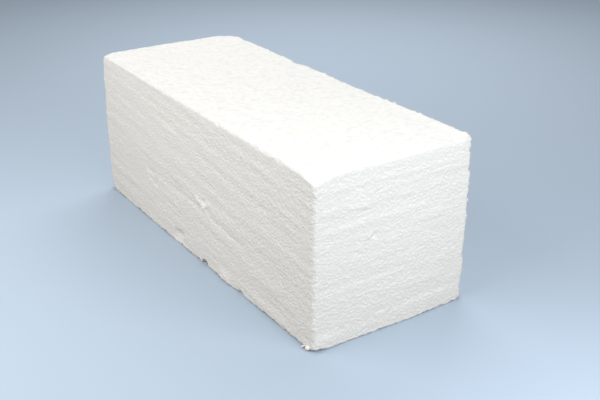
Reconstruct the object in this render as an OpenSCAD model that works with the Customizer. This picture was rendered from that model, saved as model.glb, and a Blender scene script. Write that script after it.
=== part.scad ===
// Sawn foam block: one solid piece of white expanded-bead foam, cut from a thick slab with a hand saw.
// The top and the base are the slab's own flat skins. The four sides are sawn, and keep the blade's strokes.
// Millimetres. +X runs along the length to the near end, -Y is the front side, +Z is up.
// The origin is the middle of the base.

/* [Block] */
// Length, between the two sawn ends
block_length = 250; // [150:1:400]
// Width, between the two sawn long sides
block_width = 100; // [60:1:200]
// Height, between the two skins
block_height = 95.5; // [60:1:200]

/* [Worn edges] */
// Rounding of the top edge on the front side
top_front_round = 1.6; // [0.5:0.1:8]
// Rounding of the top edge on the back side
top_back_round = 2.2; // [0.5:0.1:8]
// Rounding of the top edge over the near end
top_near_round = 4; // [0.5:0.1:8]
// Rounding of the top edge over the far end
top_far_round = 2.6; // [0.5:0.1:8]
// Rounding of the four base edges
base_round = 1; // [0.5:0.1:8]
// Rounding of the upright edge between the near end and the front
near_front_round = 1.8; // [0.5:0.1:14]
// Rounding of the upright edge between the near end and the back
near_back_round = 2.6; // [0.5:0.1:14]
// Rounding of the upright edge between the far end and the back
far_back_round = 8; // [0.5:0.1:14]
// Rounding of the upright edge between the far end and the front
far_front_round = 2.4; // [0.5:0.1:14]

/* [Knocked corners] */
// Flat on the top corner at the near end and front: how far it reaches along X, Y and Z
near_front_top_knock = [15, 13, 4]; // [2:0.5:20]
// Flat on the top corner at the far end and front
far_front_top_knock = [7, 12, 8]; // [2:0.5:20]
// Flat on the base corner at the far end and front
far_front_base_knock = [9, 9, 6]; // [2:0.5:20]
// Flat on the base corner at the near end and back
near_back_base_knock = [5, 6, 4.5]; // [2:0.5:20]
// Flat on the base corner at the near end and front
near_front_base_knock = [5, 9, 2.5]; // [2:0.5:20]

/* [Saw strokes] */
// Distance from one stroke to the next
stroke_pitch = 4.4; // [3:0.1:10]
// Deepest bite of a stroke below its face
stroke_bite = 0.55; // [0.2:0.05:1.2]
// Fall of the strokes on the long sides towards the near end, in degrees
long_stroke_fall = 3.5; // [0:0.1:8]
// Fall of the strokes on the ends towards the front, in degrees
end_stroke_fall = 0.6; // [0:0.1:8]
// Turn between the two passes of the saw on one face, in degrees
pass_turn = 1.8; // [0.5:0.1:4]

/* [Deep stroke] */
// Height of the one deep stroke on the front side, at the middle of the length
score_height = 33; // [15:0.5:50]
// Depth of the deep stroke
score_depth = 0.9; // [0.3:0.1:2]
// Width of the deep stroke at its mouth
score_width = 1.6; // [0.6:0.1:4]

/* [Tear in the front side] */
// Distance from the near end to the tear's blunt end
tear_from_near_end = 108; // [40:1:140]
// Height of the tear's lip above the base
tear_height = 32.5; // [12:0.5:50]
// Length of the tear
tear_length = 17; // [6:0.5:30]
// Rise of the tear at its blunt end
tear_rise = 9; // [3:0.5:14]
// Depth of the tear at its lip
tear_depth = 1.6; // [0.5:0.1:3]

/* [Chips and dents] */
// Distance from the near end to the chip in the front base edge
base_chip_from_near_end = 115; // [30:1:140]
// Radius of the chip in the front base edge
base_chip_radius = 3; // [1:0.1:5]
// Distance from the near end to the dent in the front side
dent_from_near_end = 148; // [30:1:149]
// Height of the middle of the dent
dent_height = 9.5; // [6:0.5:40]
// Radius of the bead-shaped dent
dent_radius = 8; // [4:0.5:14]
// Depth of the dent
dent_depth = 1.1; // [0.4:0.1:2.5]
// Distances from the top to the small chips in the upright edge between the near end and the back
edge_chip_drops = [15, 30, 36]; // [8:0.5:50]
// Distance from the top to the small chip in the upright edge between the far end and the front
far_chip_drop = 33; // [15:0.5:50]
// Radius of the small chips in the upright edges
edge_chip_radius = 2.6; // [1:0.1:4]
// Height of the large chip low in the upright edge between the near end and the back
low_chip_height = 8; // [6:0.5:40]
// Radius of the large chip
low_chip_radius = 5.5; // [2:0.1:8]
// Radius of the torn bead that hangs on at the near front base corner
bead_radius = 1.6; // [1:0.1:2.5]
// Distance from the near end to the middle of the torn bead
bead_from_near_end = 5; // [3:0.5:20]

/* [Hidden] */
$fn = 64;
foam_white = [0.95, 0.95, 0.93];
half_length = block_length / 2;
half_width = block_width / 2;
// How far a cutter stands clear of what it cuts
clear = 2;
// Where in its pitch a stroke bites deepest, how far ridges stray from even spacing, and the lightest stroke
bite_point = 0.62;
ridge_stray = 0.22;
lightest_bite = 0.25;
// How far the middle of a chip stands outside its edge, as a share of the chip's radius
chip_seat = 0.45;
// How far the middle of the torn bead stands inside the front side, as a share of its radius
bead_seat = 0.3;
// Where the tear's pointed end lies, as a share of its rise
tear_tip = 0.6;
// Seeds of the strokes on the two passes over the long sides and over the ends
long_seeds = [11, 12];
end_seeds = [21, 22];

// Waste outside the rounding of a corner that stands at the origin, with its sides along +X and +Y.
module corner_waste(radius) {
    difference() {
        translate([-clear, -clear]) square(radius + clear);
        translate([radius, radius]) circle(radius);
    }
}

// Rectangle from left to right and from the base line up, with its own rounding in each corner.
// Roundings run: lower left, lower right, upper right, upper left.
module worn_rectangle(size, roundings) {
    corners = [[-1, 0], [1, 0], [1, 1], [-1, 1]];
    difference() {
        translate([-size.x / 2, 0]) square(size);
        for (i = [0 : 3])
            translate([corners[i].x * size.x / 2, corners[i].y * size.y])
                mirror([corners[i].x > 0 ? 1 : 0, 0])
                    mirror([0, corners[i].y > 0 ? 1 : 0])
                        corner_waste(roundings[i]);
    }
}

// Points up one sawn face: out at each ridge, then in to where that stroke bites.
function stroke_points(half, bottom, count, seed) =
    let (bites = rands(lightest_bite * stroke_bite, stroke_bite, count, seed))
    let (strays = rands(-ridge_stray, ridge_stray, count, seed + 50))
    [for (i = [0 : count - 1]) each [
        [half, bottom + (i + strays[i]) * stroke_pitch],
        [half - bites[i], bottom + (i + bite_point) * stroke_pitch]
    ]];

// Tall slab that is cut by one pass of the saw over both of its faces, and runs along the blade's travel.
// Faces stand at +half and -half in X, the travel is along Y, and the strokes fall towards -Y.
module sawn_slab(half, travel, fall, seed) {
    reach = travel / 2 * tan(abs(fall)) + stroke_pitch;
    bottom = -reach - stroke_pitch;
    count = ceil((block_height + reach - bottom) / stroke_pitch) + 1;
    right = stroke_points(half, bottom, count, seed);
    left = [for (p = stroke_points(half, bottom, count, seed + 100)) [-p.x, p.y]];
    translate([0, 0, block_height / 2])
        rotate([fall, 0, 0])
            translate([0, 0, -block_height / 2])
                rotate([90, 0, 0])
                    linear_extrude(travel + 4 * clear, center = true)
                        polygon([each right, for (i = [len(left) - 1 : -1 : 0]) left[i]]);
}

// The block with its worn edges, before the saw's strokes are cut into it.
module worn_blank() {
    intersection() {
        translate([0, -half_width, 0])
            linear_extrude(block_height)
                worn_rectangle([block_length, block_width],
                    [far_front_round, near_front_round, near_back_round, far_back_round]);
        rotate([90, 0, 90])
            linear_extrude(block_length + clear, center = true)
                worn_rectangle([block_width, block_height],
                    [base_round, base_round, top_back_round, top_front_round]);
        rotate([90, 0, 0])
            linear_extrude(block_width + clear, center = true)
                worn_rectangle([block_length, block_height],
                    [base_round, base_round, top_near_round, top_far_round]);
    }
}

// The blank with two passes of the saw on the long sides and two on the ends.
module sawn_blank() {
    intersection() {
        worn_blank();
        long_pass(0);
        long_pass(1);
        end_pass(0);
        end_pass(1);
    }
}

// One pass of the saw along the long sides.
module long_pass(pass) {
    rotate([0, 0, 90])
        sawn_slab(half_width, block_length, -(long_stroke_fall + pass * pass_turn), long_seeds[pass]);
}

// One pass of the saw across the ends.
module end_pass(pass) {
    sawn_slab(half_length, block_width, end_stroke_fall + pass * pass_turn, end_seeds[pass]);
}

// Cutter that takes a corner off to a flat. Side gives the corner as -1 or 1 along each axis,
// and legs how far the flat reaches from that corner along each axis.
module corner_knock(side, legs) {
    outward = [side.x / legs.x, side.y / legs.y, side.z / legs.z];
    depth = 1 / norm(outward);
    translate([side.x * half_length, side.y * half_width, side.z > 0 ? block_height : 0])
        rotate([0, acos(outward.z * depth), atan2(outward.y, outward.x)])
            translate([0, 0, -depth])
                cylinder(r = max(legs) + clear, h = depth + clear);
}

// Cutter for the one deep stroke that runs the whole length of the front side.
module deep_stroke() {
    translate([0, -half_width, score_height])
        rotate([0, long_stroke_fall, 0])
            rotate([90, 0, 90])
                linear_extrude(block_length + 4 * clear, center = true)
                    polygon([[-clear, score_width / 2], [0, score_width / 2], [score_depth, 0],
                        [0, -score_width / 2], [-clear, -score_width / 2]]);
}

// Cutter for the tear: a three-cornered flap of foam pulled off, deepest at its lower lip.
module tear() {
    ramp = atan2(tear_depth, tear_rise);
    translate([half_length - tear_from_near_end, -half_width, tear_height])
        rotate([90, 0, 0])
            rotate([ramp, 0, 0])
                translate([0, 0, -tear_depth * cos(ramp)])
                    linear_extrude(tear_depth + clear)
                        polygon([[0, 0], [0, tear_rise / cos(ramp)], [-tear_length, tear_rise * tear_tip]]);
}

// Cutter for a round-bottomed dent in the front side.
module front_dent() {
    translate([half_length - dent_from_near_end, -half_width - dent_radius + dent_depth, dent_height])
        sphere(dent_radius);
}

// Cutter for a bead-shaped chip that has gone from an upright edge. Side gives the edge as -1 or 1 in X and Y.
module edge_chip(side, height, radius) {
    seat = radius * chip_seat;
    translate([side.x * (half_length + seat), side.y * (half_width + seat), height])
        sphere(radius);
}

// Cutter for the chip in the front base edge.
module base_chip() {
    seat = base_chip_radius * chip_seat;
    translate([half_length - base_chip_from_near_end, -half_width - seat, seat])
        sphere(base_chip_radius);
}

// Bead that has torn half loose at the near front base corner.
module torn_bead() {
    translate([half_length - bead_from_near_end, -half_width + bead_seat * bead_radius, bead_radius])
        sphere(bead_radius);
}

module foam_block() {
    color(foam_white)
        union() {
            difference() {
                sawn_blank();
                corner_knock([1, -1, 1], near_front_top_knock);
                corner_knock([-1, -1, 1], far_front_top_knock);
                corner_knock([-1, -1, -1], far_front_base_knock);
                corner_knock([1, 1, -1], near_back_base_knock);
                corner_knock([1, -1, -1], near_front_base_knock);
                deep_stroke();
                tear();
                front_dent();
                base_chip();
                for (drop = edge_chip_drops)
                    edge_chip([1, 1], block_height - drop, edge_chip_radius);
                edge_chip([1, 1], low_chip_height, low_chip_radius);
                edge_chip([-1, -1], block_height - far_chip_drop, edge_chip_radius);
            }
            torn_bead();
        }
}

foam_block();
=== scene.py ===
import math
import random

import bmesh
import bpy
from mathutils import Matrix, Vector, noise


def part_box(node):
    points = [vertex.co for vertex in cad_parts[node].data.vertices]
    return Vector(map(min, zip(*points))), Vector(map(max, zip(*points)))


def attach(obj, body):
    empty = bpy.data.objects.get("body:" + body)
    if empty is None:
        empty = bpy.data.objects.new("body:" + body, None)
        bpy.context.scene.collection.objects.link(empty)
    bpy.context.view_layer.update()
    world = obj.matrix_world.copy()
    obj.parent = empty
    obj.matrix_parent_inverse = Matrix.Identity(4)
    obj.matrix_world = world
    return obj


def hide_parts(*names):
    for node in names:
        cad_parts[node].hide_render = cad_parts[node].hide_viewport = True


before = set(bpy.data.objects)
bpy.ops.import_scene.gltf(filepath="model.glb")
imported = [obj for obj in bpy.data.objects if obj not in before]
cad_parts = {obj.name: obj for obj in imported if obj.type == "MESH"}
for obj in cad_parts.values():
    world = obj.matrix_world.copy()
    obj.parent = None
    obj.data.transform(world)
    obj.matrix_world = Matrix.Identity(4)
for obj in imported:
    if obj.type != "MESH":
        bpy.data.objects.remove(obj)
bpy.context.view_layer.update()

# Foam block
# One block of white expanded polystyrene: small beads blown up with steam and fused together in a slab
# mould, which leaves a smooth skin on the top and the base. A hand saw cut the four sides, and tore beads
# out along slanting strokes. The edges and corners were worn and knocked in use.
mm = 0.001
half_length, half_width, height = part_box("foam_block")[1]

# Grid of the block's faces, with its lines drawn closer together towards the edges.
cells_along = 250
cells_across = 100
cells_up = 96
edge_crowding = 0.35
cube_edge = 2.0


def crowd(share):
    # share runs from -1 to 1 across the block
    return (1.0 - edge_crowding) * share + edge_crowding * math.sin(share * math.pi / 2.0)


block_bm = bmesh.new()
bmesh.ops.create_cube(block_bm, size=cube_edge)
for axis, cell_count in enumerate((cells_along, cells_across, cells_up)):
    # the edges along this axis are still whole
    runs = [e for e in block_bm.edges if abs(e.verts[0].co[axis] - e.verts[1].co[axis]) > 0.5 * cube_edge]
    bmesh.ops.subdivide_edges(block_bm, edges=runs, cuts=cell_count - 1, use_grid_fill=True)

# Roundings of the worn edges, each with its radius at even steps along the edge. Uprights go by end and
# side and run from the base to the top, long edges run from the far end to the near one, and end edges
# from front to back.
near, far, front, back = 1, -1, -1, 1
upright_round = {
    (near, front): (1.8 * mm, 1.8 * mm),
    (near, back): (3.0 * mm, 2.8 * mm, 3.2 * mm, 3.0 * mm, 2.8 * mm, 5.8 * mm),
    (far, back): (9.0 * mm, 15.0 * mm),
    (far, front): (3.8 * mm, 2.2 * mm, 5.6 * mm),
}
top_long_round = {front: (0.5 * mm, 1.0 * mm, 2.2 * mm), back: (2.2 * mm, 2.6 * mm, 0.3 * mm)}
top_end_round = {near: (1.0 * mm, 0.9 * mm), far: (0.3 * mm, 2.6 * mm)}
base_long_round = {front: (0.4 * mm, 1.2 * mm), back: (0.8 * mm, 0.8 * mm)}
base_end_round = {near: (0.4 * mm, 0.3 * mm), far: (0.8 * mm, 0.8 * mm)}
# How far a radius wanders, as a share of itself and at most, and over what length it does so.
wander_share = 0.45
most_wander = 1.3 * mm
wander_length = 9.0 * mm
# The top skin sinks towards the near half of its front edge: how far in that starts, how deep it goes,
# and how far down the front side it still shows.
sink_reach = 7.0 * mm
sink_depth = 0.7 * mm
sink_height = 12.0 * mm
# The saw wandered, so the near end and the front side flare a little towards the base. The near end
# flares most at flare_middle, and less to both sides of it, by flare_loss times the distance.
end_flare = 1.0 * mm
flare_middle = 12.0 * mm
flare_loss = 0.025
front_flare = 0.35 * mm


def round_edge(a, b, edge_a, edge_b, radius):
    # draws a point of the square beside an edge into the quarter circle that rounds that edge
    over_a = radius - abs(edge_a - a)
    over_b = radius - abs(edge_b - b)
    if over_a <= 0.0 or over_b <= 0.0:
        return a, b
    pull = max(over_a, over_b) / math.hypot(over_a, over_b)
    new_a = edge_a + math.copysign(radius - over_a * pull, a - edge_a if a != edge_a else -edge_a)
    new_b = edge_b + math.copysign(radius - over_b * pull, b - edge_b if b != edge_b else -edge_b)
    return new_a, new_b


def worn(radii, share, place, lane):
    # the radius at a share of the way along an edge, which wanders on a lane of its own
    step = min(int(share * (len(radii) - 1)), len(radii) - 2)
    part = share * (len(radii) - 1) - step
    radius = radii[step] + (radii[step + 1] - radii[step]) * part
    wander = min(wander_share * radius, most_wander)
    return radius + wander * noise.noise(Vector((place / wander_length, lane, 0.5)))


for v in block_bm.verts:
    x = half_length * crowd(v.co.x)
    y = half_width * crowd(v.co.y)
    z = height * 0.5 * crowd(v.co.z)
    near_share = 0.5 + 0.5 * x / half_length
    back_share = 0.5 + 0.5 * y / half_width
    top_share = 0.5 + z / height
    end = near if x > 0.0 else far
    side = back if y > 0.0 else front
    upright_lane = end + 3.0 * side
    radius = worn(upright_round[(end, side)], top_share, z, upright_lane)
    x, y = round_edge(x, y, end * half_length, side * half_width, radius)
    top = z > 0.0
    half_height = height * 0.5 if top else -height * 0.5
    long_lane = 7.0 + side + 3.0 * top
    radius = worn(top_long_round[side] if top else base_long_round[side], near_share, x, long_lane)
    y, z = round_edge(y, z, side * half_width, half_height, radius)
    end_lane = 17.0 + end + 3.0 * top
    radius = worn(top_end_round[end] if top else base_end_round[end], back_share, y, end_lane)
    x, z = round_edge(x, z, end * half_length, half_height, radius)
    if top:
        front_share = max(0.0, 1.0 - (half_width + y) / sink_reach) ** 2
        level_share = max(0.0, 1.0 - (half_height - z) / sink_height)
        z -= sink_depth * front_share * level_share * near_share ** 3
    flare = 0.5 - z / height
    if end == near:
        x += flare * near_share * (end_flare - flare_loss * abs(y - flare_middle))
    if side == front:
        from_ends = 4.0 * near_share * (1.0 - near_share)
        y -= flare * front_flare * from_ends * (1.0 - back_share)
    v.co = Vector((x, y, z + height * 0.5))

# Corners knocked off to flats: the corner, and how far the flat reaches from it along X, Y and Z.
up, down = 1, -1
knocks = (
    ((near, front, up), Vector((15.0, 13.0, 4.0)) * mm),
    ((far, front, up), Vector((5.8, 9.0, 22.0)) * mm),
    ((far, back, up), Vector((16.0, 16.0, 1.5)) * mm),
    ((far, front, down), Vector((9.0, 9.0, 6.0)) * mm),
    ((near, back, up), Vector((5.0, 5.0, 3.0)) * mm),
    ((near, back, down), Vector((4.0, 5.0, 3.5)) * mm),
    ((near, front, down), Vector((5.0, 10.0, 2.5)) * mm),
)
# Share of what stands past a flat that is knocked off, which leaves the flat a little crowned.
knock_share = 0.94


def corner(end, side, level):
    return Vector((end * half_length, side * half_width, height if level == up else 0.0))


for (end, side, level), legs in knocks:
    tip = corner(end, side, level)
    outward = Vector((end / legs.x, side / legs.y, level / legs.z))
    depth = 1.0 / outward.length
    outward.normalize()
    for v in block_bm.verts:
        beyond = (v.co - tip).dot(outward) + depth
        if beyond > 0.0:
            v.co -= outward * beyond * knock_share

block_bm.normal_update()

# The saw's strokes: the length, spacing and depth of the long furrows, of the finer scratches between
# them, and of the clumps of beads torn askew. Strokes fall and torn clumps lean towards the near end on
# the long sides.
furrow_length, furrow_spacing, furrow_depth = 55.0 * mm, 5.0 * mm, 0.34 * mm
scratch_length, scratch_spacing, scratch_depth = 14.0 * mm, 2.4 * mm, 0.04 * mm
clump_length, clump_spacing, clump_depth = 3.0 * mm, 2.4 * mm, 0.16 * mm
stroke_fall = math.tan(math.radians(3.7))
clump_lean = math.tan(math.radians(19.0))


def strokes(along, level, askew, seed):
    furrow = noise.noise(Vector((along / furrow_length, level / furrow_spacing, seed)))
    scratch = noise.noise(Vector((along / scratch_length, level / scratch_spacing, seed + 7.0)))
    clump = noise.noise(Vector((along / clump_length, askew / clump_spacing, seed + 13.0)))
    return furrow_depth * furrow + scratch_depth * scratch + clump_depth * clump


# The marks that stand out on the near end and on the front side are in millimetres, along the face and up
# it. Ledges and grooves die out over the first and last of these shares of their length, and the step of a
# ledge is sheer, within a height of ledge_step.
ledge_taper = 1.0 / 8.0
groove_taper = 1.0 / 6.0
ledge_step = 0.001


def tapered(run, taper):
    # 0 at the two ends of a mark and beyond them, 1 along its middle
    return max(0.0, min(1.0, run / taper, (1.0 - run) / taper))


def line_at(along, start, stop):
    # how far along a straight mark a point lies, from 0 to 1, and the level of the mark there
    run = (along - start[0]) / (stop[0] - start[0])
    return run, start[1] + (stop[1] - start[1]) * run


def ledge(along, level, start, stop, setback, fade):
    # a stroke that stops leaves a step: the face above it stands back, and comes out again further up
    run, line = line_at(along, start, stop)
    over = level - line
    step = max(0.0, min(1.0, 0.5 + over / ledge_step))
    return -setback * step * tapered(run, ledge_taper) * math.exp(-max(0.0, over) / fade)


def groove(along, level, start, stop, half_span):
    # 1 along a straight scratch from start to stop, falling to 0 at its two sides
    run, line = line_at(along, start, stop)
    return max(0.0, 1.0 - abs(level - line) / half_span) * tapered(run, groove_taper)


def spot(along, level, middle, half_sizes):
    # 1 in the middle of a rounded dent or bead, 0 outside it
    away = ((along - middle[0]) / half_sizes[0]) ** 2 + ((level - middle[1]) / half_sizes[1]) ** 2
    return max(0.0, 1.0 - away)


def pressed(along, lane, length, mean, swing):
    # strength of a stroke at one place, since the saw was pressed harder in some places than in others
    return mean + swing * noise.noise(Vector((along / length, lane, 9.0)))


# Ledges on the near end: where each starts and stops, and how far the face above it stands back, with a
# minus where it stands out. Then over what length the press of the saw changes, its mean and its swing,
# and how far up a ledge fades.
near_end_ledges = (
    ((-50.0, 86.0), (42.0, 85.0), -0.25),
    ((-2.0, 81.0), (50.0, 80.5), -0.25),
    ((-50.0, 74.5), (-12.0, 74.0), -0.40),
    ((0.0, 74.0), (34.0, 73.0), -0.35),
    ((-50.0, 66.8), (24.0, 67.4), 0.575),
    ((-42.0, 63.5), (22.0, 62.5), -0.225),
    ((-26.0, 56.8), (-13.0, 56.6), -0.325),
    ((3.0, 56.8), (34.0, 57.0), -0.425),
    ((-8.0, 44.0), (36.0, 43.4), -0.25),
    ((-50.0, 33.0), (8.0, 33.4), 0.25),
    ((4.0, 20.4), (34.0, 19.6), -0.375),
    ((-14.0, 10.8), (38.0, 11.2), 0.40),
)
near_end_press = (5.0, 0.80, 1.1)
near_end_fade = 4.0
# How far the near end's ledges sway up and down, and over what length and height.
near_end_sway, near_end_sway_length, near_end_sway_height = 0.5, 22.0, 20.0
# A pit, a bead beside it, a bead further on and the flare of the lower front corner: the middle of each,
# its half sizes, and how far it stands out. Then a slanting scratch, with its ends and half its width.
near_end_spots = (
    ((-13.5, 56.8), (2.6, 1.6), -0.8),
    ((-17.5, 57.2), (2.2, 1.6), 0.4),
    ((-1.8, 52.0), (2.0, 1.6), 0.5),
    ((-45.0, 3.0), (16.0, 7.5), 0.7),
)
near_end_scratch = ((-30.0, 51.5), (-17.0, 47.8), 1.4)
near_end_scratch_depth = 0.4


def near_end_marks(across, level):
    depth = -near_end_scratch_depth * groove(across, level, *near_end_scratch)
    for middle, half_sizes, stand in near_end_spots:
        depth += stand * spot(across, level, middle, half_sizes)
    sway_place = Vector((across / near_end_sway_length, level / near_end_sway_height, 4.0))
    swayed = level + near_end_sway * noise.noise(sway_place)
    for start, stop, setback in near_end_ledges:
        press = pressed(across, start[1], *near_end_press)
        depth += press * ledge(across, swayed, start, stop, setback, near_end_fade)
    return depth


# Ledges on the front side, in the same way.
front_ledges = (
    ((-42.0, 77.0), (24.0, 66.0), 0.40),
    ((20.0, 66.2), (92.0, 60.3), 0.40),
    ((66.0, 84.0), (98.0, 78.0), -0.36),
    ((82.0, 69.0), (116.0, 65.0), -0.36),
    ((-112.0, 88.0), (-30.0, 81.0), 0.24),
    ((-116.0, 50.0), (-58.0, 46.0), -0.34),
    ((-90.0, 31.0), (6.0, 25.0), -0.26),
    ((-50.0, 23.0), (60.0, 16.0), 0.22),
    ((10.0, 13.0), (118.0, 6.5), 0.24),
    ((-64.0, 34.6), (-51.0, 33.6), 0.90),
    ((-60.0, 29.6), (-46.0, 28.4), 0.90),
)
front_press = (12.0, 0.55, 0.6)
front_fade = 4.5
front_sway, front_sway_length = 0.6, 40.0
# The deep stroke across the middle: the ledge along it, in three lengths, and the two lengths where it
# cut in, with half the width of the cut.
deep_ledges = (
    ((-66.0, 35.6), (15.0, 33.4)),
    ((13.0, 33.5), (64.0, 28.9)),
    ((62.0, 29.1), (124.0, 23.8)),
)
deep_setback = 0.30
deep_fade = 3.5
deep_press = (5.0, 0.70, 1.0)
deep_cuts = (
    ((-32.0, 37.2), (17.0, 34.8), 0.75),
    ((19.0, 34.3), (66.0, 30.4), 0.55),
)
cut_half_span = 1.1
cut_press = (5.0, 0.80, 0.9)
# The flap torn up above the deep stroke: the ridges of its lips, with half their width and their height.
flap_ridges = (
    ((2.0, 41.2), (16.0, 37.8), 1.3, 1.0),
    ((13.0, 37.4), (22.5, 43.2), 1.2, 0.9),
    ((13.0, 38.8), (20.0, 32.2), 2.0, 1.2),
)
# The pit behind the flap, and a clump of beads that bulges out at the base.
front_spots = (
    ((13.5, 41.0), (3.4, 1.6), -1.2),
    ((36.0, 1.0), (9.0, 7.0), 0.8),
)
# The dent near the base runs in under a lip, is deepest one step below it, and is out again by the third.
dent_middle = -20.0
dent_half_length = 7.0
dent_lip = 10.6
dent_lip_slope = 0.12
dent_step = 3.6
dent_steps = 3.0
dent_depth = 1.9


def front_marks(along, level):
    depth = 0.0
    swayed = level + front_sway * noise.noise(Vector((along / front_sway_length, 0.0, 2.0)))
    for start, stop, setback in front_ledges:
        press = pressed(along, start[1], *front_press)
        depth += press * ledge(along, swayed, start, stop, setback, front_fade)
    for start, stop in deep_ledges:
        press = pressed(along, 3.0, *deep_press)
        depth += press * ledge(along, level, start, stop, deep_setback, deep_fade)
    for start, stop, cut_depth in deep_cuts:
        press = pressed(along, 5.0, *cut_press)
        depth -= press * cut_depth * groove(along, level, start, stop, cut_half_span)
    for start, stop, half_span, stand in flap_ridges:
        depth += stand * groove(along, level, start, stop, half_span)
    for middle, half_sizes, stand in front_spots:
        depth += stand * spot(along, level, middle, half_sizes)
    from_middle = along - dent_middle
    dent_share = max(0.0, 1.0 - (from_middle / dent_half_length) ** 2)
    under = (dent_lip + dent_lip_slope * from_middle - level) / dent_step
    coming_out = (dent_steps - under) / (dent_steps - 1.0)
    return depth - dent_depth * dent_share * max(0.0, min(under, coming_out))


def smooth_share(value, low, high):
    # 0 below low, 1 above high, and a smooth passage between
    share = min(1.0, max(0.0, (value - low) / (high - low)))
    return share * share * (3.0 - 2.0 * share)


# The long sides are calmer towards the far end, and the top skin is smoother towards the near end: where
# each change begins and ends along the block. Last, how soon a rounded edge counts as sawn.
calmest_at, liveliest_at = -90.0 * mm, 20.0 * mm
roughest_at, smoothest_at = -20.0 * mm, 90.0 * mm
sawn_gain = 1.6


def far_share(x):
    # 1 where the long sides are calmest, 0 where they are liveliest
    return 1.0 - smooth_share(x, calmest_at, liveliest_at)


def near_top_share(x):
    # 1 where the top skin is smoothest, 0 where it is roughest
    return smooth_share(x, roughest_at, smoothest_at)


def sawn_share(normal):
    # 1 on the sawn sides, 0 on the skins, and a passage between them on the rounded edges
    return min(1.0, (1.0 - normal.z ** 2) * sawn_gain)


# Strokes of the long sides and of the ends: the seed of each, how far the seeds of two opposite faces lie
# from it, what the long sides lose towards the far end, how strong the ends' strokes are and how much they
# lean, and how far a point has to face a side to take its strokes.
long_side_seed = 31.0
end_seed = 61.0
opposite_seed = 5.0
far_stroke_loss = 0.22
end_stroke_share = 0.6
end_lean_share = 0.3
least_facing = 0.25
# Single beads in the sawn faces, lower than they are wide: how unevenly they stand, how they tilt out at
# the top, the depth of the seams, how wide a seam and a dome are as shares of a bead, what beads lose on
# the ends, and what gives each bead a luck of its own.
bead = 2.6 * mm
bead_squash = 1.4
bead_stray = 0.10 * mm
bead_tilt = 0.06
seam_depth = 0.03 * mm
seam_share = 0.3
dome_share = 0.6
end_bead_loss = 0.35
luck_spread = 19.7
# Shares of the beads that were torn out and that stand proud, with their depth and height.
torn_out_share = 0.006
torn_out_depth = 0.8 * mm
standing_share = 0.02
standing_height = 0.40 * mm
# The top skin: its strength at the far end and what it loses towards the near one, its wide and narrow
# swells, its seams and its uneven beads.
skin_strength = 1.15
near_skin_loss = 0.75
wide_swell, wide_swell_height = 22.0 * mm, 0.14 * mm
narrow_swell, narrow_swell_height = 5.5 * mm, 0.24 * mm
skin_seam_depth = 0.10 * mm
skin_bead_stray = 0.12 * mm
# Beads break away along every edge, so the edges are ragged: the length and depth of the bites, how much
# hangs on the single bead, what goes all along, and how soon an edge is fully ragged.
bite_length = 2.4 * mm
bite_depth = 0.50 * mm
bite_luck = 0.5
edge_loss = 0.10 * mm
least_edge = 0.02
full_edge = 0.2
# The saw left a burr along the near third of the top's back edge: where it starts and is full, how far in
# from the back it starts and is full, and its height.
burr_start, burr_full = 44.0 * mm, 78.0 * mm
burr_foot, burr_crest = half_width - 7.0 * mm, half_width - 1.0 * mm
burr_height = 0.35 * mm
burr_facing = 0.2
# Below this level nothing stands out of the faces that look down, so the base stays flat.
flat_level = 2.0 * mm
flat_facing = -0.3

moves = {}
for v in block_bm.verts:
    x, y, z = v.co
    n = v.normal
    sawn = sawn_share(n)
    nearest, centres = noise.voronoi(Vector((x, y, z * bead_squash)) / bead)
    luck = noise.cell_vector(centres[0] * luck_spread)
    seam = 1.0 - min(1.0, (nearest[1] - nearest[0]) / seam_share)
    dome = max(0.0, 1.0 - (nearest[0] / dome_share) ** 2)
    rise = 0.0
    if sawn > 0.0:
        if abs(n.y) > least_facing:
            side = math.copysign(1.0, n.y)
            seed = long_side_seed + opposite_seed * side
            long_side = strokes(x, z + x * stroke_fall, z + x * clump_lean, seed)
            long_side *= 1.0 - far_stroke_loss * far_share(x)
            if side == front:
                long_side += front_marks(x / mm, z / mm) * mm
            rise += n.y * n.y * long_side
        if abs(n.x) > least_facing:
            end = math.copysign(1.0, n.x)
            seed = end_seed + opposite_seed * end
            end_face = end_stroke_share * strokes(y, z, z - end_lean_share * y * clump_lean, seed)
            if end == near:
                end_face += near_end_marks(y / mm, z / mm) * mm
            rise += n.x * n.x * end_face
        above_middle = z - centres[0].z * bead / bead_squash
        bead_level = bead_stray * (luck.x - 0.5) + bead_tilt * above_middle - seam_depth * seam
        if luck.y < torn_out_share:
            bead_level -= torn_out_depth * dome
        elif luck.y > 1.0 - standing_share:
            bead_level += standing_height * dome
        rise += sawn * bead_level * (1.0 - end_bead_loss * n.x * n.x)
    if sawn < 1.0 and n.z > 0.0:
        swell = wide_swell_height * noise.noise(v.co / wide_swell)
        swell += narrow_swell_height * noise.noise(v.co / narrow_swell)
        swell += skin_bead_stray * (luck.z - 0.5) - skin_seam_depth * seam
        rise += (1.0 - sawn) * (skin_strength - near_skin_loss * near_top_share(x)) * swell
    edge = 1.0 - max(abs(n.x), abs(n.y), abs(n.z))
    if edge > least_edge:
        bite = noise.noise(v.co / bite_length) + bite_luck * (luck.z - 0.5)
        rise += min(1.0, edge / full_edge) * (bite_depth * bite - edge_loss)
    if n.z > burr_facing:
        burr = smooth_share(x, burr_start, burr_full) * smooth_share(y, burr_foot, burr_crest)
        rise += burr_height * burr
    if z < flat_level and n.z < flat_facing:
        rise = min(rise, 0.0)
    moves[v.index] = n * rise
for v in block_bm.verts:
    v.co += moves[v.index]

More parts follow.
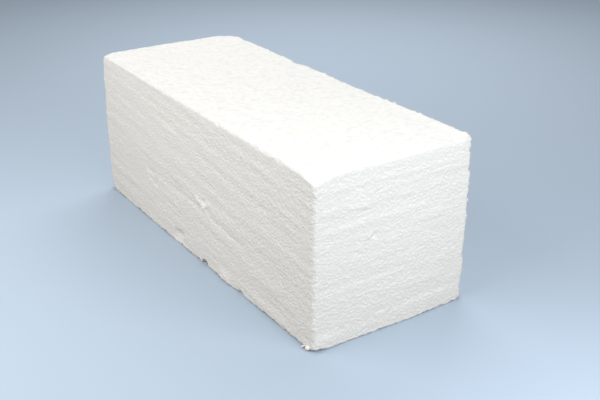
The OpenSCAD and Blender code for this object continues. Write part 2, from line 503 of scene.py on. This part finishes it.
# Chips that have gone from the edges: the middle of the clump that broke out, its radius, and its height
# as a share of its width. First the near back upright, then the far front one, the front base edge and
# the back top edge.
whole, flat = 1.0, 0.55
chips = [
    (Vector((half_length - 0.5 * mm, half_width + 0.8 * mm, 88.4 * mm)), 3.7 * mm, flat),
    (Vector((half_length - 0.5 * mm, half_width + 0.8 * mm, 78.2 * mm)), 3.7 * mm, flat),
    (Vector((half_length - 0.5 * mm, half_width + 0.8 * mm, 62.8 * mm)), 3.5 * mm, flat),
    (Vector((half_length - 0.6 * mm, half_width + 1.0 * mm, 11.2 * mm)), 3.2 * mm, whole),
    (Vector((half_length - 0.6 * mm, half_width + 1.0 * mm, 7.9 * mm)), 4.6 * mm, flat),
    (Vector((-half_length - 0.4 * mm, -half_width - 0.4 * mm, height - 33.0 * mm)), 2.4 * mm, flat),
    (Vector((12.6 * mm, -half_width - 0.6 * mm, -0.6 * mm)), 4.2 * mm, whole),
    (Vector((53.5 * mm, -half_width - 2.6 * mm, -1.2 * mm)), 4.5 * mm, whole),
    (Vector((half_length - 6.8 * mm, -half_width - 0.6 * mm, -0.4 * mm)), 1.6 * mm, whole),
    (Vector((43.0 * mm, half_width + 1.6 * mm, height + 1.0 * mm)), 3.6 * mm, whole),
    (Vector((-38.0 * mm, half_width + 6.0 * mm, height + 6.0 * mm)), 11.2 * mm, whole),
]
# Single beads that stand proud of the back top edge and of the near back upright, in the same way.
proud_beads = [
    (Vector((-7.8 * mm, half_width - 1.3 * mm, height - 1.2 * mm)), 1.8 * mm, whole),
    (Vector((82.9 * mm, half_width - 0.7 * mm, height - 0.5 * mm)), 1.5 * mm, whole),
    (Vector((half_length - 1.9 * mm, half_width - 1.2 * mm, 59.4 * mm)), 1.5 * mm, whole),
]

# Single beads missing all along the edges: the two ends of each edge, and how deep the bites go in it.
edge_runs = (
    ((far, front, down), (near, front, down), 1.4),
    ((near, front, down), (near, back, down), 0.9),
    ((far, back, down), (near, back, down), 1.0),
    ((far, front, down), (far, back, down), 1.0),
    ((far, back, up), (near, back, up), 1.9),
    ((far, front, up), (far, back, up), 1.0),
    ((far, front, up), (near, front, up), 0.5),
    ((near, front, up), (near, back, up), 0.3),
    ((near, back, down), (near, back, up), 0.7),
    ((near, front, down), (near, front, up), 0.25),
    ((far, front, down), (far, front, up), 1.4),
)
missing_beads = random.Random(41)
# Least and most, in millimetres, of a missing bead's radius, its bite and the way to the next one.
missing_radius = (0.9, 1.9)
missing_bite = (-0.2, 1.0)
missing_spacing = (1.8, 5.0)
# How far from an edge a point still belongs to it, how far the bites stay from the corners, and how far
# along the edge and around a bite the worn surface is looked for.
edge_reach = 6.0 * mm
corner_clear = 4.0 * mm
slice_reach = 0.7 * mm
skin_reach = 9.0 * mm
block_middle = Vector((0.0, 0.0, 0.5 * height))
edge_verts = []
for v in block_bm.verts:
    close = (
        half_length - abs(v.co.x) < edge_reach,
        half_width - abs(v.co.y) < edge_reach,
        min(v.co.z, height - v.co.z) < edge_reach,
    )
    if sum(close) > 1:
        edge_verts.append(v)
for first, last, share in edge_runs:
    start, stop = corner(*first), corner(*last)
    along = (stop - start).normalized()
    length = (stop - start).length
    from_block = (start + stop) * 0.5 - block_middle
    outward = Vector([math.copysign(1.0, c) if abs(c) > 1.0 * mm else 0.0 for c in from_block]).normalized()
    travelled = corner_clear
    while travelled < length - corner_clear:
        at = start + along * travelled
        radius = missing_beads.uniform(*missing_radius) * mm
        bite = missing_beads.uniform(*missing_bite) * share * mm
        # how far out the worn edge stands under the bite
        in_slice = [v.co for v in edge_verts if abs((v.co - at).dot(along)) < slice_reach]
        skin_at = max((co.dot(outward) for co in in_slice if (co - at).length < skin_reach), default=None)
        if skin_at is not None and bite > 0.0:
            middle = at + outward * (skin_at - at.dot(outward) + radius - bite)
            chips.append((middle, radius, flat if along.z > 0.5 else whole))
        travelled += missing_beads.uniform(*missing_spacing) * mm
for middle, radius, flatness in chips + proud_beads:
    for v in edge_verts:
        away = v.co - middle
        away.z /= flatness
        if away.length < radius:
            away *= radius / away.length
            away.z *= flatness
            v.co = middle + away
most_above_top = 1.2 * mm
for v in block_bm.verts:
    v.co.z = min(max(v.co.z, 0.0), height + most_above_top)

# One bead and a sliver of skin, torn loose at the lower near corner and hanging by their edges: the
# middle and the half sizes of each.
torn_bits = (
    (Vector((half_length - 4.8 * mm, -half_width - 0.2 * mm, 1.4 * mm)), Vector((1.45, 1.45, 1.35)) * mm),
    (Vector((half_length - 8.2 * mm, -half_width - 0.6 * mm, 0.7 * mm)), Vector((0.7, 1.4, 0.45)) * mm),
)
for middle, half_sizes in torn_bits:
    shape = Matrix.Translation(middle) @ Matrix.Diagonal(half_sizes.to_4d())
    bmesh.ops.create_icosphere(block_bm, subdivisions=3, radius=1.0, matrix=shape)

# The base is flat, so one face spans it inside its worn rim.
rim = 3.0 * mm
base_level = 0.001 * mm
base_faces = []
for f in block_bm.faces:
    in_base = all(
        v.co.z < base_level and abs(v.co.x) < half_length - rim and abs(v.co.y) < half_width - rim
        for v in f.verts
    )
    if in_base:
        base_faces.append(f)
bmesh.ops.dissolve_faces(block_bm, faces=base_faces, use_verts=True)
for f in block_bm.faces:
    f.smooth = True

# What the material reads at each point: how far it was sawn, and how strong the foam's grain is there.
# The grain is weaker on the ends and towards the far end of the long sides, and on the top skin towards
# the near end.
sawn_grain = 0.82
end_grain_loss = 0.10
far_grain_loss = 0.20
top_grain = 1.0
near_top_grain_loss = 0.7
top_facing = 0.7
sawn_layer = block_bm.verts.layers.float.new("sawn")
grain_layer = block_bm.verts.layers.float.new("grain_strength")
block_bm.normal_update()
for v in block_bm.verts:
    n = v.normal
    v[sawn_layer] = sawn_share(n)
    if n.z > top_facing:
        v[grain_layer] = top_grain - near_top_grain_loss * near_top_share(v.co.x)
    else:
        far_calm = far_grain_loss * n.y ** 2 * far_share(v.co.x)
        v[grain_layer] = sawn_grain - end_grain_loss * n.x ** 2 - far_calm
block_mesh = bpy.data.meshes.new("block")
block_bm.to_mesh(block_mesh)
block_bm.free()
block = bpy.data.objects.new("block", block_mesh)
bpy.context.collection.objects.link(block)

# Bead foam: white, matt and crumbly where it was sawn, smoother and glossier on the moulded skins.
foam_ior = 1.35
foam = bpy.data.materials.new("white_bead_foam")
foam.use_nodes = True
nodes = foam.node_tree.nodes
links = foam.node_tree.links
shader = nodes["Principled BSDF"]
shader.inputs["IOR"].default_value = foam_ior
object_place = nodes.new("ShaderNodeTexCoord").outputs["Object"]
sawn_read = nodes.new("ShaderNodeAttribute")
sawn_read.attribute_name = "sawn"
sawn_here = sawn_read.outputs["Fac"]
grain_read = nodes.new("ShaderNodeAttribute")
grain_read.attribute_name = "grain_strength"
grain_here = grain_read.outputs["Fac"]
# Flakes lean by this angle on the long sides, and by a share of it on the ends.
flake_lean = math.radians(23.0)
end_lean = 0.2


def placed(size, lean, lift=0.0):
    # object coordinates that lean, in cells of the given size, and lifted by a share of a cell
    turn = nodes.new("ShaderNodeMapping")
    turn.inputs["Rotation"].default_value = (-end_lean * lean, -lean, 0.0)
    links.new(object_place, turn.inputs["Vector"])
    stretch = nodes.new("ShaderNodeMapping")
    stretch.inputs["Scale"].default_value = [1.0 / length for length in size]
    stretch.inputs["Location"].default_value = (0.0, 0.0, lift)
    links.new(turn.outputs["Vector"], stretch.inputs["Vector"])
    return stretch.outputs["Vector"]


def grain(vector, detail):
    texture = nodes.new("ShaderNodeTexNoise")
    texture.inputs["Scale"].default_value = 1.0
    texture.inputs["Detail"].default_value = detail
    links.new(vector, texture.inputs["Vector"])
    return texture.outputs["Fac"]


def cells(vector):
    texture = nodes.new("ShaderNodeTexVoronoi")
    texture.inputs["Scale"].default_value = 1.0
    links.new(vector, texture.inputs["Vector"])
    return texture


def weighed(value, weight, rest):
    # value times weight, plus the rest
    sum_node = nodes.new("ShaderNodeMath")
    sum_node.operation = "MULTIPLY_ADD"
    links.new(value, sum_node.inputs[0])
    sum_node.inputs[1].default_value = weight
    if isinstance(rest, float):
        sum_node.inputs[2].default_value = rest
    else:
        links.new(rest, sum_node.inputs[2])
    return sum_node.outputs["Value"]


def times(value, factor):
    product = nodes.new("ShaderNodeMath")
    product.operation = "MULTIPLY"
    links.new(value, product.inputs[0])
    links.new(factor, product.inputs[1])
    return product.outputs["Value"]


def spread(value, from_low, from_high, to_low, to_high):
    # value brought from one range to another and held within it
    range_node = nodes.new("ShaderNodeMapRange")
    links.new(value, range_node.inputs["Value"])
    range_node.inputs["From Min"].default_value = from_low
    range_node.inputs["From Max"].default_value = from_high
    range_node.inputs["To Min"].default_value = to_low
    range_node.inputs["To Max"].default_value = to_high
    return range_node.outputs["Result"]


def by_face(on_skin, on_sawn):
    # one value on the skins and another on the sawn sides
    mix = nodes.new("ShaderNodeMix")
    links.new(sawn_here, mix.inputs["Factor"])
    links.new(on_skin, mix.inputs["A"])
    links.new(on_sawn, mix.inputs["B"])
    return mix.outputs["Result"]


# Flakes of torn foam, each of which stands out at its upper lip and overlaps the next one down.
flake_size = (1.8 * mm, 1.8 * mm, 1.5 * mm)
flake_lip, flake_fall, flake_ground = 0.12, -0.15, 0.2
flake_place = placed(flake_size, flake_lean)
flakes = cells(flake_place)
from_flake = nodes.new("ShaderNodeVectorMath")
from_flake.operation = "SUBTRACT"
links.new(flake_place, from_flake.inputs[0])
links.new(flakes.outputs["Position"], from_flake.inputs[1])
flake_axes = nodes.new("ShaderNodeSeparateXYZ")
links.new(from_flake.outputs["Vector"], flake_axes.inputs["Vector"])
flake_slope = weighed(flakes.outputs["Distance"], flake_fall, flake_ground)
overlap = weighed(flake_axes.outputs["Z"], flake_lip, flake_slope)

# Fine scratches and crumbs between the flakes, stronger in some patches than in others, and the shreds
# that the saw pulled up. The shreds are also read a little higher, which finds where they face upwards for
# the painted highlight.
scratch_size, scratch_lean, scratch_weight = (4.0 * mm, 4.0 * mm, 1.1 * mm), 0.3 * flake_lean, 0.10
crumb_size, crumb_weight = (0.8 * mm, 0.8 * mm, 0.7 * mm), 0.26
shred_size, shred_lift, shred_weight = (1.35 * mm, 1.7 * mm, 1.3 * mm), 0.35, 1.15
patch_size, patch_low, patch_high = (14.0 * mm, 14.0 * mm, 9.0 * mm), 0.65, 1.35
grain_low, grain_high = 0.3, 0.7
scratches = grain(placed(scratch_size, scratch_lean), 2.0)
crumbs = grain(placed(crumb_size, flake_lean), 1.0)
shreds = grain(placed(shred_size, flake_lean), 1.0)
shreds_above = grain(placed(shred_size, flake_lean, shred_lift), 1.0)
patches = spread(grain(placed(patch_size, 0.0), 0.0), grain_low, grain_high, patch_low, patch_high)
torn = weighed(overlap, 1.0, weighed(scratches, scratch_weight, weighed(crumbs, crumb_weight, 0.0)))
sawn_height = weighed(times(torn, patches), 1.0, weighed(shreds, shred_weight, 0.0))

# On the skins the beads show whole, as low domes with seams between them.
skin_bead_size = (2.8 * mm, 2.8 * mm, 2.8 * mm)
skin_dome, skin_crumb_weight, skin_ground = -0.77, 0.21, 0.8
grain_height = 0.5 * mm
bead_tops = cells(placed(skin_bead_size, 0.0)).outputs["Distance"]
skin_height = weighed(bead_tops, skin_dome, weighed(crumbs, skin_crumb_weight, skin_ground))
bump = nodes.new("ShaderNodeBump")
bump.inputs["Distance"].default_value = grain_height
links.new(grain_here, bump.inputs["Strength"])
links.new(by_face(skin_height, sawn_height), bump.inputs["Height"])
links.new(bump.outputs["Normal"], shader.inputs["Normal"])

# The shreds are whitened where they face upwards, a painted highlight over the sawn ground, and on the
# skins the seams between the beads are greyed, a painted shade.
lip_highlight_rise = 0.2
lip_highlight_white, ground_white = 1.05, 0.20
seam_level, dome_level = 0.1, 0.6
painted_seam_shade, dome_white = 0.30, 0.95
greyest = (0.835, 0.83, 0.81, 1.0)
whitest = (0.98, 0.975, 0.955, 1.0)
skin_roughness, sawn_roughness = 0.55, 0.85
# Painted highlight: the sawn faces are whitened where the shreds face upwards, towards the light from
# above.
painted_lip_highlight = spread(weighed(shreds_above, -1.0, shreds), 0.0, lip_highlight_rise, 0.0, 1.0)
sawn_tone_and_highlight = weighed(times(times(painted_lip_highlight, patches), grain_here), lip_highlight_white, ground_white)
# Painted shade: the skin is greyer where its bump height is low, in the seams between the beads, and whiter
# on the dome tops.
skin_painted_shade = spread(skin_height, seam_level, dome_level, painted_seam_shade, dome_white)
tint = nodes.new("ShaderNodeValToRGB")
tint.color_ramp.elements[0].color = greyest
tint.color_ramp.elements[1].color = whitest
links.new(by_face(skin_painted_shade, sawn_tone_and_highlight), tint.inputs["Fac"])
links.new(tint.outputs["Color"], shader.inputs["Base Color"])
roughness = spread(sawn_here, 0.0, 1.0, skin_roughness, sawn_roughness)
links.new(roughness, shader.inputs["Roughness"])

block.data.materials.append(foam)
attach(block, "root")
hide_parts("foam_block")

# Studio floor
# A plain pale sheet under the block, wide enough to fill the view from any side. The camera sees it pale
# blue, and it throws only a weak neutral light back on the block.
floor_radius = 8.0
floor_blue = (0.50, 0.60, 0.72, 1.0)
floor_bounce = (0.18, 0.175, 0.17, 1.0)
bpy.ops.mesh.primitive_circle_add(
    vertices=64, radius=floor_radius, fill_type="NGON", location=(0.0, 0.0, 0.0)
)
floor = bpy.context.object
floor.name = "floor"
floor_paint = bpy.data.materials.new("pale_floor")
floor_paint.use_nodes = True
paint_nodes = floor_paint.node_tree.nodes
paint_links = floor_paint.node_tree.links
seen_paint = paint_nodes["Principled BSDF"]
seen_paint.inputs["Base Color"].default_value = floor_blue
seen_paint.inputs["Roughness"].default_value = 0.9
seen_paint.inputs["Specular IOR Level"].default_value = 0.1
bounce_paint = paint_nodes.new("ShaderNodeBsdfDiffuse")
bounce_paint.inputs["Color"].default_value = floor_bounce
ray = paint_nodes.new("ShaderNodeLightPath")
seen_or_mirrored = paint_nodes.new("ShaderNodeMath")
seen_or_mirrored.operation = "MAXIMUM"
paint_links.new(ray.outputs["Is Camera Ray"], seen_or_mirrored.inputs[0])
paint_links.new(ray.outputs["Is Glossy Ray"], seen_or_mirrored.inputs[1])
seen = paint_nodes.new("ShaderNodeMath")
seen.operation = "MAXIMUM"
paint_links.new(seen_or_mirrored.outputs["Value"], seen.inputs[0])
paint_links.new(ray.outputs["Is Transmission Ray"], seen.inputs[1])
paint_mix = paint_nodes.new("ShaderNodeMixShader")
paint_links.new(seen.outputs["Value"], paint_mix.inputs["Fac"])
paint_links.new(bounce_paint.outputs["BSDF"], paint_mix.inputs[1])
paint_links.new(seen_paint.outputs["BSDF"], paint_mix.inputs[2])
paint_links.new(paint_mix.outputs["Shader"], paint_nodes["Material Output"].inputs["Surface"])
floor.data.materials.append(floor_paint)

# Studio light
# An even room light, with a low soft cool lamp close before the near end, a low soft warm one before the
# front side, and a broad one high behind the far end. Each lamp has its place, size, power and colour.
room_strength = 0.33
lamp_aim = Vector((0.0, 0.0, 0.05))
lamps = (
    ("end_lamp", (0.36, 0.0, 0.18), 0.30, 0.79, (0.945, 0.975, 1.0)),
    ("front_lamp", (-0.02, -0.33, 0.24), 0.45, 1.13, (1.0, 0.985, 0.955)),
    ("back_lamp", (-0.36, 0.30, 0.52), 0.50, 2.04, (1.0, 0.995, 0.98)),
)
room = bpy.data.worlds.new("room")
room.use_nodes = True
room_light = room.node_tree.nodes["Background"]
room_light.inputs["Color"].default_value = (1.0, 1.0, 1.0, 1.0)
room_light.inputs["Strength"].default_value = room_strength
bpy.context.scene.world = room
for name, lamp_place, size, power, colour in lamps:
    lamp_data = bpy.data.lights.new(name, "AREA")
    lamp_data.size = size
    lamp_data.energy = power
    lamp_data.color = colour
    lamp = bpy.data.objects.new(name, lamp_data)
    lamp.location = lamp_place
    lamp.rotation_euler = (lamp_aim - lamp.location).to_track_quat("-Z", "Y").to_euler()
    lamp.visible_camera = False
    bpy.context.collection.objects.link(lamp)

# Camera
# A long lens, above and to the right of the block's front side. It looks along a line that passes a little
# to the right of the block's middle and below it.
azimuth = math.radians(56.235)
elevation = math.radians(24.806)
distance = 0.56627
shift_right = 0.021235
shift_down = 0.020988
look_at = Vector((0.0, 0.0, 0.04775))
film_width = 36.0
picture_width_px = 600.0
focal_px = 930.23
level_part = math.cos(elevation)
behind = Vector((math.sin(azimuth) * level_part, -math.cos(azimuth) * level_part, math.sin(elevation)))
to_right = Vector((math.cos(azimuth), math.sin(azimuth), 0.0))
upward = behind.cross(to_right)
camera_data = bpy.data.cameras.new("camera")
camera_data.sensor_width = film_width
camera_data.lens = focal_px * film_width / picture_width_px
camera = bpy.data.objects.new("camera", camera_data)
camera.location = look_at + behind * distance + to_right * shift_right - upward * shift_down
camera.rotation_euler = (math.pi / 2.0 - elevation, 0.0, azimuth)
bpy.context.collection.objects.link(camera)
bpy.context.scene.camera = camera
bpy.context.scene.view_settings.view_transform = "Standard"
